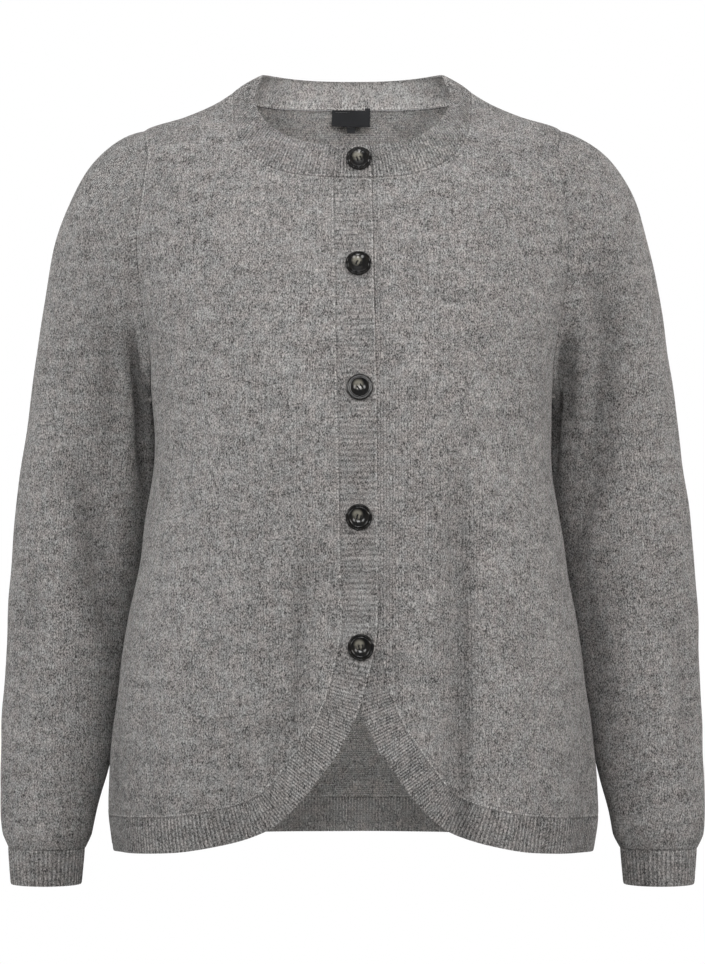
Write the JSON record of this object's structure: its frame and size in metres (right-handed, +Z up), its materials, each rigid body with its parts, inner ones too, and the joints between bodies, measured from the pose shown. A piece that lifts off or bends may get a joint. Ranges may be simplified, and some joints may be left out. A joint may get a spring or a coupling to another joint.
{
  "type": "button cardigan",
  "caption": "Long-sleeved, round-necked button cardigan in fine grey knit with ribbed bands and a front hem cut away in curves, filled out as worn.",
  "frame": {"origin": "between the two neck points, at the height where the wearer's shoulders carry the garment", "axes": "+Z up, -Y out of the front, +X towards the wearer's left"},
  "size_m": [0.6018, 0.2995, 0.6875],
  "materials": {
    "grey_knit": "soft brushed melange knit, matt",
    "grey_rib": "the same yarn in a one-by-one rib, matt",
    "dark_horn": "near-black horn-look resin, mottled beige-grey in the dish, glossy",
    "black_woven": "bare black woven tape, slight sheen"
  },
  "bodies": {
    "root": {"back": "grey_knit", "front_right": "grey_knit", "front_left": "grey_knit", "sleeve_right": "grey_knit", "sleeve_left": "grey_knit", "neckband": "grey_rib", "band_right": "grey_rib", "band_left": "grey_rib", "hem_back": "grey_rib", "cuff_right": "grey_rib", "cuff_left": "grey_rib", "button_1": "dark_horn", "button_2": "dark_horn", "button_3": "dark_horn", "button_4": "dark_horn", "button_5": "dark_horn", "label": "black_woven", "size_tag": "black_woven"}
  },
  "joints": []
}
